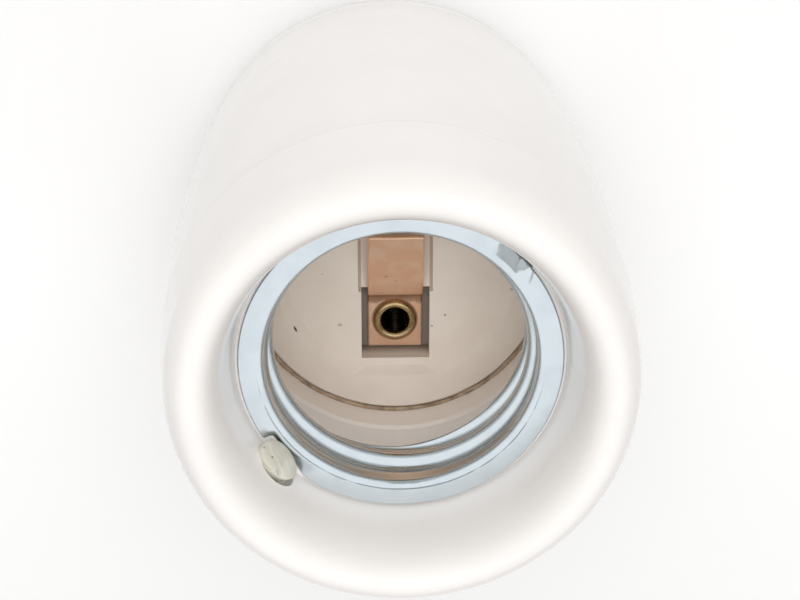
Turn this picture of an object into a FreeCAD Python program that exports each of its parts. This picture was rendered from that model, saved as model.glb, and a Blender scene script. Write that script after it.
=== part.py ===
"""Porcelain pendant lamp holder for an E27 lamp cap, with an M10 x 1 rear entry.

The holder stands on its flat back with the lamp opening up.
Units are millimetres.  +Z leaves the opening, the origin is the centre of the back face,
and the centre contact strip lies along Y, with its rivet on the -Y side of the axis.
"""
import FreeCAD, Part
import math
import os

V = FreeCAD.Vector
X_AXIS = V(1, 0, 0)
Y_AXIS = V(0, 1, 0)
Z_AXIS = V(0, 0, 1)
ORIGIN = V(0, 0, 0)

# ---- driving dimensions: porcelain housing
FRONT_Z = 60.1          # front of the rim, and the height of the whole holder
SEAM_Z = 47.2           # where the front collar meets the rear body
COLLAR_R = 22.75        # outside of the front collar at the seam
SHOULDER_R = 22.1       # outside of the front collar where the rim's rounding starts
SHOULDER_Z = 55.8
BODY_R = 22.45          # outside of the rear body at the seam
BODY_WAIST = (22.65, 25.2)      # outside of the rear body halfway up, radius and height
BODY_BASE_R = 21.0      # outside of the rear body at its back rounding
BACK_ROUND = 4.7        # rounding of the back edge
LEDGE_Z = 50.85         # ledge in the collar that carries the shell's flange
LEDGE_T = 2.7           # thickness of that ledge
LEDGE_BORE_R = 14.5     # hole in the ledge, clear of the rolled thread
RECESS_R = 15.65        # recess wall at the ledge
RECESS_MOUTH_R = 16.55  # recess wall where the rim's rounding starts
RECESS_MOUTH_Z = 55.3
CROWN_R = 19.5          # radius at which the rounded rim is highest
SPIGOT_R = 18.7         # spigot of the collar that screws into the rear body
SPIGOT_WALL_R = 15.8    # inner wall of the spigot beside the insert
CHAMBER_WALL_R = 16.1   # inner wall of the spigot above the step
WALL_STEP_Z = 34.45
CHAMBER_R = 16.2        # wiring chamber in the rear body
CHAMBER_FLOOR_Z = 7.0
SEAT_R = 18.85          # counterbore for the insert and the spigot
BACK_RECESS_R = 11.2    # recess in the back for the ring nut
BACK_RECESS_D = 3.4

# ---- driving dimensions: ceramic insert
INSERT_BACK_Z = 23.0
INSERT_STEP_Z = 29.3
INSERT_FACE_Z = 31.0
INSERT_R = 18.6
BOSS_R = 15.55
PAN_R = 12.45           # shallow pan in the front face
PAN_D = 0.95
PAN_CHORD_Y = -11.6     # straight side of the pan
KEY_R = 1.3             # ribs in the body that stop the insert turning

# ---- driving dimensions: rolled screw shell, E27
SHEET_T = 0.45
FLANGE_R = 15.4
FLANGE_Z = 51.3         # front of the flange
LIP_R = 13.0            # bore just past the bend
MINOR_R = 12.2          # crests of the round thread
THREAD_DEPTH = 1.1
PITCH = 25.4 / 7.0      # seven turns to the inch
SHELL_LENGTH = 7.4      # from the front of the flange to the inner end
BEND_R = 0.7            # from the flange into the bore
THREAD_PHASE = 0.8      # radians, turns the helix about the axis
NOTCH_ANGLES = (221.0, 45.0)
NOTCH_W = 5.4
NOTCH_FLOOR_R = 13.95
PLUG_AT = (15.4, 52.7)      # middle of a plug's oval face, radius and height
PLUG_LEAN = 61              # degrees that the face is turned inwards from level
PLUG_ACROSS = 1.75
PLUG_ALONG = 2.3
PLUG_SINK = 1.8             # depth of its leaning pocket
PLUG_FOOT_Z = 48.8

# ---- driving dimensions: contacts and terminals
CONTACT_W = 5.7
CONTACT_T = 0.5
CONTACT_TOP_Z = 27.4    # top of the contact's flat foot
RIVET_Y = -6.8
FOOT_END_Y = -9.65
BEND_Y = -4.1
TONGUE_START = (-3.1, 29.3)
TONGUE_END = (5.2, 33.7)
RIVET_SHANK_R = 1.85
RIVET_HOLE_R = 1.45
RIVET_FLARE_R = 2.25
RIVET_FLARE_H = 0.55
PLATE_W = 7.0
PLATE_T = 1.2
SCREW_REACH = 7.2       # from a terminal's rivet to its screw
SIDE_STRIP_Y = 13.77
SIDE_STRIP_W = 6.0
SIDE_STRIP_TOP_Z = 47.8
SIDE_RIVET_Y = 10.9
SIDE_RIVET_TOP_Z = 27.2
CENTRE_TERMINAL = (RIVET_Y, 0)          # rivet's Y, and the way to its screw in degrees
SIDE_TERMINAL = (SIDE_RIVET_Y, -90)
SCREW_R = 1.75
SCREW_FIT = 0.05
SCREW_HEAD_R = 3.1
SCREW_HEAD_H = 2.2
CLAMP_T = 0.9
CLAMP_GAP = 0.15

# ---- driving dimensions: rear entry
ENTRY_BORE_R = 4.46     # minor radius of M10 x 1
ENTRY_NECK_R = 6.5
ENTRY_HOLE_R = 6.65     # hole for the neck in the porcelain
ENTRY_COLLAR_R = 7.2
ENTRY_FLANGE_R = 9.5
ENTRY_FLANGE_T = 1.4
ENTRY_TOP_Z = 14.6
ENTRY_STOP_T = 1.0
ENTRY_BOTTOM_Z = 0.6
GRUB_Z = 11.0
GRUB_R = 1.5


# ---- helpers
def cylinder(radius, z0, z1, x=0.0, y=0.0):
    """Upright cylinder between two heights."""
    return Part.makeCylinder(radius, z1 - z0, V(x, y, z0), Z_AXIS)


def ring(r_in, r_out, z0, z1, x=0.0, y=0.0):
    """Upright ring between two heights."""
    return cylinder(r_out, z0, z1, x, y).cut(cylinder(r_in, z0 - 1, z1 + 1, x, y))


def block(x0, x1, y0, y1, z0, z1):
    """Box between two corners."""
    return Part.makeBox(x1 - x0, y1 - y0, z1 - z0, V(x0, y0, z0))


def path(steps):
    """Edges through (a, b) points.

    A pair of points in place of one is an arc through the first to the second.  Three points are
    the two handles and the end of a freely curved edge.
    """
    edges = []
    last = steps[0]
    for step in steps[1:]:
        if isinstance(step[0], tuple):
            if len(step) == 2:
                edge = Part.Arc(V(*last, 0), V(*step[0], 0), V(*step[1], 0))
            else:
                edge = Part.BezierCurve()
                edge.setPoles([V(*last, 0)] + [V(*point, 0) for point in step])
            edges.append(edge.toShape())
            last = step[-1]
        else:
            edges.append(Part.LineSegment(V(*last, 0), V(*step, 0)).toShape())
            last = step
    if last != steps[0]:
        edges.append(Part.LineSegment(V(*last, 0), V(*steps[0], 0)).toShape())
    return Part.Wire(edges)


def revolve(steps):
    """Solid of revolution about Z from an outline of (radius, height) points."""
    face = Part.Face(path(steps))
    face.rotate(ORIGIN, X_AXIS, 90)
    return face.revolve(ORIGIN, Z_AXIS, 360)


def extrude_yz(steps, width):
    """Prism centred on X from an outline of (y, z) points."""
    face = Part.Face(path(steps))
    face.rotate(ORIGIN, X_AXIS, 90)
    face.rotate(ORIGIN, Z_AXIS, 90)
    face.translate(V(-width / 2, 0, 0))
    return face.extrude(V(width, 0, 0))


def quarter(centre, radius, start_deg, sweep_deg):
    """Middle and end point of an arc about a centre, as path() takes them."""
    points = []
    for part in (0.5, 1.0):
        angle = math.radians(start_deg + sweep_deg * part)
        points.append((centre[0] + radius * math.cos(angle), centre[1] + radius * math.sin(angle)))
    return tuple(points)


def at_angle(shape, angle_deg):
    """Copy of a shape turned about Z."""
    copy = shape.copy()
    copy.rotate(ORIGIN, Z_AXIS, angle_deg)
    return copy


# ---- porcelain housing
def oval_post(across, along, z0, z1):
    """Upright oval prism, longer along Y."""
    oval = Part.Ellipse(V(0, along, z0), V(across, 0, z0), V(0, 0, z0))
    return Part.Face(Part.Wire(oval.toShape())).extrude(V(0, 0, z1 - z0))


def lock_plug_head(proud):
    """Leaning oval in the corner of the ledge and the recess wall, on the +X side."""
    head = oval_post(PLUG_ACROSS, PLUG_ALONG, -PLUG_SINK, proud)
    head.rotate(ORIGIN, Y_AXIS, -PLUG_LEAN)
    return head.translated(V(PLUG_AT[0], 0, PLUG_AT[1]))


def lock_plug_foot():
    """Upright oval in the ledge under a plug's head."""
    return oval_post(1.0, 1.9, PLUG_FOOT_Z, LEDGE_Z + 0.3).translated(V(FLANGE_R - 0.1, 0, 0))


def front_collar():
    """Collar with the rounded rim, the flange ledge and the spigot for the rear body."""
    body = revolve([
        (SPIGOT_WALL_R, INSERT_STEP_Z),
        (SPIGOT_R, INSERT_STEP_Z),
        (SPIGOT_R, SEAM_Z),
        (COLLAR_R - 0.5, SEAM_Z),
        quarter((COLLAR_R - 0.5, SEAM_Z + 0.5), 0.5, -90, 90),
        (SHOULDER_R, SHOULDER_Z),
        ((SHOULDER_R - 0.2, SHOULDER_Z + 2.4), (CROWN_R + 1.4, FRONT_Z), (CROWN_R, FRONT_Z)),
        ((CROWN_R - 1.5, FRONT_Z), (RECESS_MOUTH_R + 0.5, RECESS_MOUTH_Z + 2.5),
         (RECESS_MOUTH_R, RECESS_MOUTH_Z)),
        (RECESS_R, LEDGE_Z),
        (LEDGE_BORE_R, LEDGE_Z),
        (LEDGE_BORE_R, LEDGE_Z - LEDGE_T),
        (CHAMBER_WALL_R, LEDGE_Z - LEDGE_T),
        (CHAMBER_WALL_R, WALL_STEP_Z + 0.3),
        (SPIGOT_WALL_R, WALL_STEP_Z),
    ])
    foot = lock_plug_foot()
    for pocket, angle in zip((lock_plug_head(2.0).fuse(foot), foot), NOTCH_ANGLES):
        body = body.cut(at_angle(pocket, angle))
    return body


def rear_body():
    """Rear housing with the counterbore, the insert seat, the wiring chamber and the back recess."""
    floor = CHAMBER_FLOOR_Z
    body = revolve([
        (BACK_RECESS_R, 0),
        (BODY_BASE_R - BACK_ROUND, 0),
        quarter((BODY_BASE_R - BACK_ROUND, BACK_ROUND), BACK_ROUND, -90, 90),
        (BODY_WAIST, (BODY_R, SEAM_Z - 1.0)),
        quarter((BODY_R - 1.0, SEAM_Z - 1.0), 1.0, 0, 90),
        (SEAT_R, SEAM_Z),
        (SEAT_R, INSERT_BACK_Z),
        (CHAMBER_R, INSERT_BACK_Z),
        (CHAMBER_R, floor + 2.2),
        (CHAMBER_R - 2.2, floor),
        (ENTRY_HOLE_R, floor),
        (ENTRY_HOLE_R, BACK_RECESS_D),
        (BACK_RECESS_R, BACK_RECESS_D),
    ])
    seat = cylinder(SEAT_R + 0.5, INSERT_BACK_Z, INSERT_STEP_Z - 0.4)
    for side in (-1, 1):
        rib = cylinder(KEY_R, INSERT_BACK_Z, INSERT_STEP_Z - 0.4, side * SEAT_R)
        body = body.fuse(rib.common(seat))
    return body.removeSplitter()


# ---- ceramic insert
def contact_insert():
    """Ceramic disc that carries both contacts: panned front face, contact recess, terminal pockets."""
    face = INSERT_FACE_Z
    pan_floor = face - PAN_D
    body = revolve([
        (0, INSERT_BACK_Z),
        (INSERT_R, INSERT_BACK_Z),
        (INSERT_R, INSERT_STEP_Z),
        (BOSS_R, INSERT_STEP_Z),
        (BOSS_R, face - 0.3),
        (BOSS_R - 0.3, face),
        (0, face),
    ])
    pan = Part.makeCone(PAN_R - 1.2, PAN_R, PAN_D, V(0, 0, pan_floor), Z_AXIS)
    chord = extrude_yz([
        (PAN_CHORD_Y + 0.7, pan_floor - 1),
        (PAN_CHORD_Y + 0.7, pan_floor),
        (PAN_CHORD_Y, face),
        (PAN_CHORD_Y, face + 1),
        (PAN_R + 1, face + 1),
        (PAN_R + 1, pan_floor - 1),
    ], 3 * PAN_R)
    body = body.cut(pan.common(chord))
    body = body.cut(block(-3.55, 3.55, -10.05, -2.3, CONTACT_TOP_Z - CONTACT_T, face))
    groove = Part.Wire([Part.LineSegment(V(*a), V(*b)).toShape() for a, b in zip(
        ((-3.55, 0, pan_floor - 1.0), (3.55, 0, pan_floor - 1.0), (4.2, 0, face), (-4.2, 0, face)),
        ((3.55, 0, pan_floor - 1.0), (4.2, 0, face), (-4.2, 0, face), (-3.55, 0, pan_floor - 1.0)))])
    body = body.cut(Part.Face(groove).extrude(V(0, 9.1, 0)).translated(V(0, -2.4, 0)))
    body = body.cut(cylinder(RIVET_SHANK_R, 0, face, 0, RIVET_Y))
    body = body.cut(cylinder(RIVET_SHANK_R, 0, face, 0, SIDE_RIVET_Y))
    body = body.cut(cylinder(2.7, SIDE_RIVET_TOP_Z, face + 1, 0, SIDE_RIVET_Y))
    screw_pocket = cylinder(3.0, INSERT_BACK_Z - 1, INSERT_BACK_Z + 2.7, SCREW_REACH)
    for terminal in (CENTRE_TERMINAL, SIDE_TERMINAL):
        body = body.cut(at_terminal(screw_pocket, terminal))
    strip_half = SIDE_STRIP_W / 2 + 0.1
    slot_y = SIDE_STRIP_Y - 0.35
    body = body.cut(block(-strip_half, strip_half, slot_y, SIDE_STRIP_Y + 0.6, 0, face))
    body = body.cut(block(-strip_half, strip_half, slot_y, BOSS_R + 1, INSERT_STEP_Z, face))
    body = body.cut(block(-strip_half, strip_half, 8.6, slot_y + 0.2, 0, INSERT_BACK_Z + CONTACT_T))
    for side in (-1, 1):
        body = body.cut(cylinder(KEY_R + 0.15, 0, INSERT_STEP_Z, side * SEAT_R))
    barrier = block(-13.0, 13.0, -1.3, 0.1, INSERT_BACK_Z - 5.0, INSERT_BACK_Z)
    return body.fuse(barrier).removeSplitter()


def joint_cement():
    """Ring of cement between the insert's boss and the spigot's wall."""
    return ring(BOSS_R, SPIGOT_WALL_R, INSERT_STEP_Z, INSERT_FACE_Z + 0.1)


# ---- rolled screw shell
BORE_ROWS = 15
ROW_PITCH = (SHELL_LENGTH - BEND_R) / BORE_ROWS
THREAD_ARC_R = ((PITCH / 2) ** 2 + THREAD_DEPTH ** 2) / (4 * THREAD_DEPTH)


def smooth(t):
    """0 to 1 with level ends."""
    t = min(1.0, max(0.0, t))
    return t * t * (3 - 2 * t)


def round_thread(s):
    """How far the thread lies outside its crests: equal arcs of crest and root that meet."""
    from_crest = abs(math.remainder(s, PITCH))
    from_root = PITCH / 2 - from_crest
    if from_crest < from_root:
        return THREAD_ARC_R - math.sqrt(THREAD_ARC_R ** 2 - from_crest ** 2)
    return THREAD_DEPTH - THREAD_ARC_R + math.sqrt(THREAD_ARC_R ** 2 - from_root ** 2)


def thread_pole(depth, theta):
    """Pole that brings a cubic surface onto the thread, which climbs one pitch in a turn."""
    s = depth + (theta + THREAD_PHASE) * PITCH / (2 * math.pi)
    beside = round_thread(s - ROW_PITCH) + round_thread(s + ROW_PITCH)
    return (8 * round_thread(s) - beside) / 6


def shell_pole(s, theta, side):
    """Pole of the sheet's surface: s runs from the flange's edge inwards and down the bore.

    side 0 is the face that the lamp cap meets, side 1 the back of the sheet.  The thread comes
    out of the plain lip in its first turn.
    """
    flat = FLANGE_R - LIP_R - BEND_R
    bend = BEND_R * math.pi / 2
    back = SHEET_T * side
    if s <= flat:
        r, z = FLANGE_R - s, FLANGE_Z - back
    elif s <= flat + bend:
        angle = (s - flat) / BEND_R
        reach = BEND_R - back
        r = LIP_R + BEND_R - reach * math.sin(angle)
        z = FLANGE_Z - BEND_R + reach * math.cos(angle)
    else:
        depth = s - flat - bend
        share = smooth((depth - 0.9) / 1.4)
        r = back + LIP_R + (MINOR_R + thread_pole(depth, theta) - LIP_R) * share
        z = FLANGE_Z - BEND_R - depth
    return V(r * math.cos(theta), r * math.sin(theta), z)


def shell_stations():
    """Distances along the sheet of its rows of poles, evenly spaced on the threaded bore."""
    flat = FLANGE_R - LIP_R - BEND_R
    bend = BEND_R * math.pi / 2
    stations = [flat * k / 3 for k in range(3)]
    stations += [flat + bend * k / 3 for k in range(3)]
    stations += [flat + bend + ROW_PITCH * k for k in range(BORE_ROWS + 1)]
    return stations


def shell_skin(side):
    """One face of the sheet: a cubic surface, closed around the axis, on a formula's poles."""
    turns = 18
    swell = 3 / (2 + math.cos(2 * math.pi / turns))
    poles = []
    for s in shell_stations():
        row = [shell_pole(s, 2 * math.pi * k / turns, side) for k in range(turns)]
        poles.append([V(p.x * swell, p.y * swell, p.z) for p in row])
    spans = len(poles) - 3
    u_mults = [4] + [1] * (spans - 1) + [4]
    v_mults = [1] * (turns + 1)
    skin = Part.BSplineSurface()
    skin.buildFromPolesMultsKnots(poles, u_mults, v_mults, list(range(spans + 1)),
                                  list(range(turns + 1)), False, True, 3, 3)
    return skin


def screw_shell():
    """Notched flange and rolled round thread, one drawn sheet."""
    skins = [shell_skin(0), shell_skin(1)]
    faces = [skin.toShape() for skin in skins]
    for end in (0, 1):
        edges = [skin.uIso(skin.bounds()[end]).toShape() for skin in skins]
        faces.append(Part.makeRuledSurface(*edges))
    sheet = Part.Compound(faces)
    sheet.sewShape(0.001)
    shell = Part.makeSolid(sheet.Shells[0])
    if shell.Volume < 0:
        shell.reverse()
    half, corner = NOTCH_W / 2, 0.8
    low, high = FLANGE_Z - 0.6, FLANGE_Z + 0.5
    notch = block(NOTCH_FLOOR_R + corner, FLANGE_R + 1, -half, half, low, high)
    notch = notch.fuse(block(NOTCH_FLOOR_R, FLANGE_R, corner - half, half - corner, low, high))
    for side in (-1, 1):
        notch = notch.fuse(cylinder(corner, low, high, NOTCH_FLOOR_R + corner, side * (half - corner)))
    for angle in NOTCH_ANGLES:
        shell = shell.cut(at_angle(notch, angle))
    return shell


def shell_lock_plugs():
    """Two set plugs in the flange's notches that stop the shell turning, one swollen to a head."""
    head = lock_plug_head(0.25)
    face = max(head.Faces, key=lambda side: side.normalAt(0, 0).z)
    head = head.makeFillet(0.3, face.Edges)
    foot = lock_plug_foot()
    plugs = zip((head.fuse(foot), foot), NOTCH_ANGLES)
    return Part.Compound([at_angle(plug, angle) for plug, angle in plugs])


# ---- contacts
def sheet_path(points, thickness):
    """Closed outline of a bent strip: the top line as given, and the same line set back."""
    back = []
    for k, (y, z) in enumerate(points):
        before = points[max(k - 1, 0)]
        after = points[min(k + 1, len(points) - 1)]
        dy, dz = after[0] - before[0], after[1] - before[1]
        length = math.hypot(dy, dz)
        back.append((y + thickness * dz / length, z - thickness * dy / length))
    return points + back[::-1]


def centre_contact():
    """Copper strip: riveted foot in the recess, a steep riser, and a springing tongue."""
    line = [(FOOT_END_Y, CONTACT_TOP_Z), (BEND_Y - 0.3, CONTACT_TOP_Z)]
    line += [(BEND_Y + 0.15, CONTACT_TOP_Z + 0.18), (BEND_Y + 0.42, CONTACT_TOP_Z + 0.62)]
    start, end = TONGUE_START, TONGUE_END
    line += [(start[0] - 0.22, start[1] - 0.42), start]
    for part in (0.25, 0.5, 0.75, 1.0):
        bow = 0.35 * math.sin(math.pi * part)
        line.append((start[0] + (end[0] - start[0]) * part, start[1] + (end[1] - start[1]) * part + bow))
    strip = extrude_yz(sheet_path(line, CONTACT_T), CONTACT_W)
    strip = strip.cut(cylinder(RIVET_SHANK_R, 20, 30, 0, RIVET_Y))
    foot_end = [edge for edge in strip.Edges if edge.BoundBox.YMax < FOOT_END_Y + 0.01]
    corners = [edge for edge in foot_end if edge.BoundBox.XLength < 1e-6]
    return strip.makeFillet(0.4, corners)


def terminal_plate():
    """Brass plate on the back of the insert, with a drawn and tapped neck for the screw."""
    back = INSERT_BACK_Z
    plate = block(-3.0, SCREW_REACH + 3.4, -PLATE_W / 2, PLATE_W / 2, back - PLATE_T, back)
    upright = [edge for edge in plate.Edges if edge.BoundBox.ZLength > PLATE_T - 0.01]
    plate = plate.makeFillet(1.0, upright)
    plate = plate.fuse(cylinder(2.8, back, back + 1.7, SCREW_REACH))
    plate = plate.cut(cylinder(SCREW_R + SCREW_FIT, back - 2, back + 3, SCREW_REACH))
    return plate.cut(cylinder(RIVET_SHANK_R, back - 2, back + 1)).removeSplitter()


def wire_clamp():
    """Saddle washer under the screw head, with lips beside the terminal plate."""
    top = INSERT_BACK_Z - PLATE_T - CLAMP_GAP
    reach = PLATE_W / 2 + 0.25
    x0, x1 = SCREW_REACH - 3.1, SCREW_REACH + 3.1
    saddle = block(x0, x1, -reach - 0.8, reach + 0.8, top - CLAMP_T, top)
    for side in (-1, 1):
        y0, y1 = sorted((side * reach, side * (reach + 0.8)))
        saddle = saddle.fuse(block(x0 + 0.9, x1 - 0.9, y0, y1, top - CLAMP_T, top + 0.9))
    return saddle.cut(cylinder(SCREW_R + 0.25, top - 2, top + 2, SCREW_REACH)).removeSplitter()


def terminal_screw():
    """Slotted cheese-head screw, head towards the rear entry."""
    seat = INSERT_BACK_Z - PLATE_T - CLAMP_GAP - CLAMP_T - 0.08
    head = cylinder(SCREW_HEAD_R, seat - SCREW_HEAD_H, seat, SCREW_REACH)
    low = [edge for edge in head.Edges if edge.BoundBox.ZMax < seat - SCREW_HEAD_H + 0.01]
    head = head.makeChamfer(0.4, low)
    shank = cylinder(SCREW_R, seat, INSERT_BACK_Z + 2.2, SCREW_REACH)
    tip = [edge for edge in shank.Edges if edge.BoundBox.ZMin > INSERT_BACK_Z + 2.1]
    screw = head.fuse(shank.makeChamfer(0.4, tip))
    slot = block(SCREW_REACH - 0.45, SCREW_REACH + 0.45, -4, 4,
                 seat - SCREW_HEAD_H - 1, seat - SCREW_HEAD_H + 1.1)
    return screw.cut(slot).removeSplitter()


def hollow_rivet(top_z):
    """Tubular rivet with a rolled flare above and a clinched flare under the terminal plate."""
    hole, shank, flare, height = RIVET_HOLE_R, RIVET_SHANK_R, RIVET_FLARE_R, RIVET_FLARE_H
    bottom_z = INSERT_BACK_Z - PLATE_T
    return revolve([
        (hole, bottom_z - height),
        (hole + 0.3, bottom_z - height),
        (flare, bottom_z - 0.15),
        (flare, bottom_z),
        (shank, bottom_z),
        (shank, top_z),
        (flare, top_z),
        ((hole + 0.50, top_z + height), (hole, top_z + 0.1)),
    ])


def at_terminal(shape, terminal):
    """Place a piece made about a rivet at the origin onto one of the insert's two terminals."""
    rivet_y, angle = terminal
    return at_angle(shape, angle).translated(V(0, rivet_y, 0))


def shell_contact_strip():
    """Strip from the second terminal, up the spigot's wall, to the back of the rolled thread."""
    z0, z1 = INSERT_BACK_Z, INSERT_BACK_Z + CONTACT_T
    outer = SIDE_STRIP_Y + CONTACT_T
    top = SIDE_STRIP_TOP_Z
    strip = extrude_yz([
        (8.7, z0),
        (outer - 0.8, z0),
        quarter((outer - 0.8, z0 + 0.8), 0.8, -90, 90),
        (outer, top - 0.7),
        (outer + 0.35, top),
        (outer - 0.15, top),
        (SIDE_STRIP_Y, top - 0.7),
        (SIDE_STRIP_Y, z0 + 0.8),
        quarter((outer - 0.8, z0 + 0.8), 0.3, 0, -90),
        (8.7, z1),
    ], SIDE_STRIP_W)
    return strip.cut(cylinder(RIVET_SHANK_R, 20, 30, 0, SIDE_RIVET_Y))


# ---- rear entry
def entry_bush():
    """Flanged bush with an M10 x 1 bore, a stop at its inner end and a locking-screw hole."""
    floor = CHAMBER_FLOOR_Z
    bush = revolve([
        (ENTRY_BORE_R, ENTRY_BOTTOM_Z),
        (ENTRY_NECK_R, ENTRY_BOTTOM_Z),
        (ENTRY_NECK_R, floor),
        (ENTRY_FLANGE_R, floor),
        (ENTRY_FLANGE_R, floor + ENTRY_FLANGE_T),
        (ENTRY_COLLAR_R, floor + ENTRY_FLANGE_T),
        (ENTRY_COLLAR_R, ENTRY_TOP_Z - 0.6),
        (ENTRY_COLLAR_R - 0.6, ENTRY_TOP_Z),
        (ENTRY_BORE_R - 0.9, ENTRY_TOP_Z),
        (ENTRY_BORE_R - 0.9, ENTRY_TOP_Z - ENTRY_STOP_T),
        (ENTRY_BORE_R, ENTRY_TOP_Z - ENTRY_STOP_T),
    ])
    return bush.cut(Part.makeCylinder(GRUB_R + SCREW_FIT, 10, V(0, 0, GRUB_Z), X_AXIS))


def entry_ring_nut():
    """Round nut with two spanner slots, sunk in the back recess."""
    nut = ring(ENTRY_NECK_R + 0.03, 10.4, 0.5, 2.9)
    return nut.cut(block(-12, 12, -1.2, 1.2, 0, 1.6))


def entry_washer():
    """Fibre washer between the ring nut and the porcelain."""
    return ring(ENTRY_NECK_R + 0.1, 10.7, 2.9, BACK_RECESS_D)


def entry_lock_screw():
    """Hexagon-socket grub screw that grips the entry tube."""
    start, length = ENTRY_BORE_R + 0.25, 4.2
    screw = Part.makeCylinder(GRUB_R, length, V(start, 0, GRUB_Z), X_AXIS)
    corners = [V(start + length - 1.6, 0.87 * math.cos(math.radians(60 * k)),
                 GRUB_Z + 0.87 * math.sin(math.radians(60 * k))) for k in range(7)]
    socket = Part.Face(Part.makePolygon(corners)).extrude(V(3, 0, 0))
    return screw.cut(socket)


def main():
    """Build every sub-part and write one STEP file for each."""
    parts = {
        "front_collar": front_collar(),
        "rear_body": rear_body(),
        "contact_insert": contact_insert(),
        "joint_cement": joint_cement(),
        "screw_shell": screw_shell(),
        "shell_lock_plugs": shell_lock_plugs(),
        "centre_contact": centre_contact(),
        "shell_contact_strip": shell_contact_strip(),
        "centre_rivet": at_terminal(hollow_rivet(CONTACT_TOP_Z), CENTRE_TERMINAL),
        "shell_rivet": at_terminal(hollow_rivet(SIDE_RIVET_TOP_Z), SIDE_TERMINAL),
        "entry_bush": entry_bush(),
        "entry_ring_nut": entry_ring_nut(),
        "entry_washer": entry_washer(),
        "entry_lock_screw": entry_lock_screw(),
    }
    for name, terminal in (("centre", CENTRE_TERMINAL), ("shell", SIDE_TERMINAL)):
        parts[name + "_terminal"] = at_terminal(terminal_plate(), terminal)
        parts[name + "_wire_clamp"] = at_terminal(wire_clamp(), terminal)
        parts[name + "_terminal_screw"] = at_terminal(terminal_screw(), terminal)
    os.makedirs("parts", exist_ok=True)
    for name, shape in parts.items():
        shape.exportStep("parts/" + name + ".step")


main()
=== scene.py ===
"""Finish of a porcelain lamp holder with a rolled screw shell and a riveted centre contact.

The holder stands on its flat back with the lamp opening up.  Its lengths are written in
millimetres and turned into metres where a mesh or a material is made.
"""
import logging
import math
from collections.abc import Iterable
from dataclasses import dataclass, field
from enum import Enum

import bpy
from bpy.types import Material, Node, NodeTree, Object
from mathutils import Matrix, Vector, noise


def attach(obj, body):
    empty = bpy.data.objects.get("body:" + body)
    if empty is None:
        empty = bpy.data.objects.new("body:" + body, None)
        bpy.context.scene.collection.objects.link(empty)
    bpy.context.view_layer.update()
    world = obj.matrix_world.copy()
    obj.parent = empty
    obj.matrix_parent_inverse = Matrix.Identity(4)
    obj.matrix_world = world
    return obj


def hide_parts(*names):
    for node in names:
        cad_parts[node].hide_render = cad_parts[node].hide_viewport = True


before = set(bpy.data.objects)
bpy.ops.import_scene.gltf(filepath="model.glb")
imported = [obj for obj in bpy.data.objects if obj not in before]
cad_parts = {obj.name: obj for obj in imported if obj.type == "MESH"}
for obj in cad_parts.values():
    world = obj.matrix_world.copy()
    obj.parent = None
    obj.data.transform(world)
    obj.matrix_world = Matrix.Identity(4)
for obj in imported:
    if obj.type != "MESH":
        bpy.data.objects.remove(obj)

MM = 0.001
LOG = logging.getLogger("lamp_holder")
Colour = tuple[float, float, float]
Socket = bpy.types.NodeSocket
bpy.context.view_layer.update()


# ---------------------------------------------------------------- small mathematics
def smooth(value: float, low: float, high: float) -> float:
    """Rise from 0 at low to 1 at high, level at both ends."""
    t = min(1.0, max(0.0, (value - low) / (high - low)))
    return t * t * (3.0 - 2.0 * t)


def wobble(x: float, y: float, z: float, scale: float) -> float:
    """Smooth noise from about -1 to 1 whose features are about scale wide."""
    return noise.noise(Vector((x, y, z)) / scale)


def polar(radius: float, angle: float, height: float) -> Vector:
    """Point of the holder from its radius, its angle in radians and its height."""
    return Vector((radius * math.cos(angle), radius * math.sin(angle), height))


def circle(count: int) -> list[float]:
    """Angles in radians of evenly spaced points round a full turn."""
    return [2 * math.pi * k / count for k in range(count)]


def turn_between(angle: float, centre: float) -> float:
    """Smallest signed turn in radians from centre to angle."""
    return math.remainder(angle - centre, 2.0 * math.pi)


# ---------------------------------------------------------------- meshes
def link(name: str, data: bpy.types.ID) -> Object:
    """New object of a mesh, a lamp or a camera, linked into the scene.

    Args:
        name: Name of the new object.
        data: Mesh, lamp or camera.

    Returns:
        The new object.
    """
    made = bpy.data.objects.new(name, data)
    bpy.context.scene.collection.objects.link(made)
    return made


def grid_object(name: str, rows: list[list[Vector]], loop_rows: bool, loop_columns: bool,
                caps: bool = False) -> Object:
    """Turn rows of points into a smooth quad mesh.

    Args:
        name: Name of the new piece.
        rows: Points in millimetres, the same count in every row.
        loop_rows: Whether the last row joins the first.
        loop_columns: Whether the last point of a row joins its first.
        caps: Whether the first and last row are closed with one face each.

    Returns:
        The new object, linked into the scene.
    """
    width = len(rows[0])
    verts = [tuple(p * MM) for row in rows for p in row]
    faces: list[tuple[int, ...]] = []
    for i in range(len(rows) if loop_rows else len(rows) - 1):
        after = (i + 1) % len(rows)
        for k in range(width if loop_columns else width - 1):
            beside = (k + 1) % width
            faces.append((i * width + k, i * width + beside, after * width + beside, after * width + k))
    if caps:
        faces.append(tuple(reversed(range(width))))
        faces.append(tuple(range((len(rows) - 1) * width, len(rows) * width)))
    mesh = bpy.data.meshes.new(name)
    mesh.from_pydata(verts, [], faces)
    mesh.polygons.foreach_set("use_smooth", [True] * len(mesh.polygons))
    mesh.update()
    return link(name, mesh)


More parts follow.
